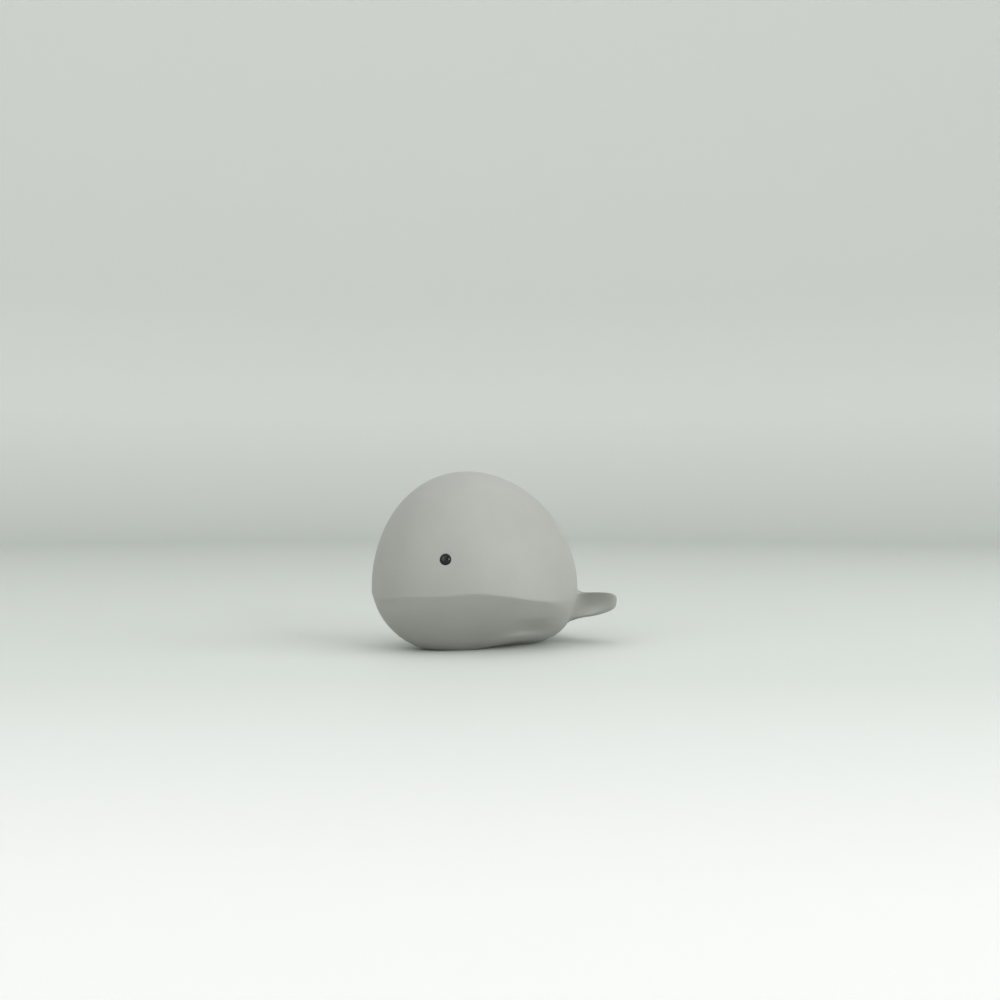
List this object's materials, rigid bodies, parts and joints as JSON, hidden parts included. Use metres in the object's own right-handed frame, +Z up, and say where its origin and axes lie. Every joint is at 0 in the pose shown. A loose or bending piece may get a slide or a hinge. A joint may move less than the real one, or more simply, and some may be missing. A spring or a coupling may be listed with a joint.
{
  "type": "squeaky bath toy",
  "caption": "Plump whale-shaped squeaky bath toy: soft rubber dome with tail flukes over a belly shell, bead eyes, and a reed squeaker in the underside.",
  "frame": {"origin": "on the ground plane, under the middle of the toy's bounding box", "axes": "-X toward the nose, +X toward the tail, -Y toward the toy's left flank, +Z up toward the crown"},
  "size_m": [0.1228, 0.088, 0.086],
  "materials": {
    "upper_shell": "satin natural rubber, warm grey",
    "belly_shell": "satin natural rubber, warm grey",
    "eyes": "glossy black bead",
    "squeaker": "off-white moulded plastic",
    "whistle": "off-white moulded plastic",
    "reed": "thin rolled strip"
  },
  "bodies": {
    "base": {"belly_shell": "belly_shell", "squeaker_housing": "squeaker", "squeaker_guard": "squeaker", "retaining_collar": "squeaker", "whistle_tube": "whistle", "reed_carrier": "whistle", "reed_wedge": "whistle"},
    "dome": {"upper_shell": "upper_shell", "left_eye": "eyes", "right_eye": "eyes"},
    "reed": {"reed": "reed"}
  },
  "joints": [
    {"name": "squeeze", "type": "slide", "parent": "base", "child": "dome", "axis": [0, 0, -1], "range_m": [0, 0.0075], "stiffness_N_per_m": 1000, "springref_m": -0.0006, "deforming": ["belly_shell"]},
    {"name": "reed_flutter", "type": "hinge", "parent": "base", "child": "reed", "pos_m": [-0.022, 0, 0.008], "axis": [-1, 0, 0], "range_deg": [-2.4, 3], "stiffness_Nm_per_rad": 0.0005, "deforming": ["reed"]}
  ]
}
